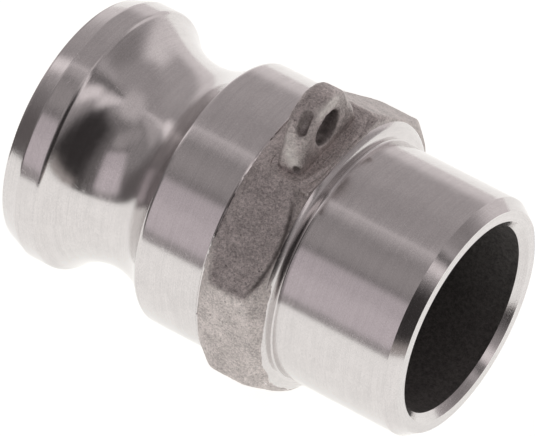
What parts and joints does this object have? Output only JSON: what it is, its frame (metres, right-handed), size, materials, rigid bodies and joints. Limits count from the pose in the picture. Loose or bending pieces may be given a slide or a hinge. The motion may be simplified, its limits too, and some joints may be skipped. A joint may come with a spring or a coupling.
{
  "type": "camlock coupling",
  "caption": "Male cam-and-groove adapter: grooved locking head, octagonal wrench band with a tether eye, and a bevelled butt-weld pipe spigot.",
  "frame": {"origin": "centre of the seal face at the male end, on the flow axis", "axes": "+X along the flow axis from the male head to the weld end, +Z to the tether lug, +Y completes the right-handed frame"},
  "size_m": [0.0869, 0.0558, 0.0679],
  "materials": {
    "machined_steel": "fine-turned stainless steel, satin",
    "cast_steel": "as-cast stainless steel, shot-blasted, sandy"
  },
  "bodies": {
    "root": {"male_head": "machined_steel", "cam_groove_neck": "machined_steel", "barrel": "machined_steel", "wrench_octagon": "cast_steel", "tether_lug": "cast_steel", "weld_spigot": "machined_steel"}
  },
  "joints": []
}
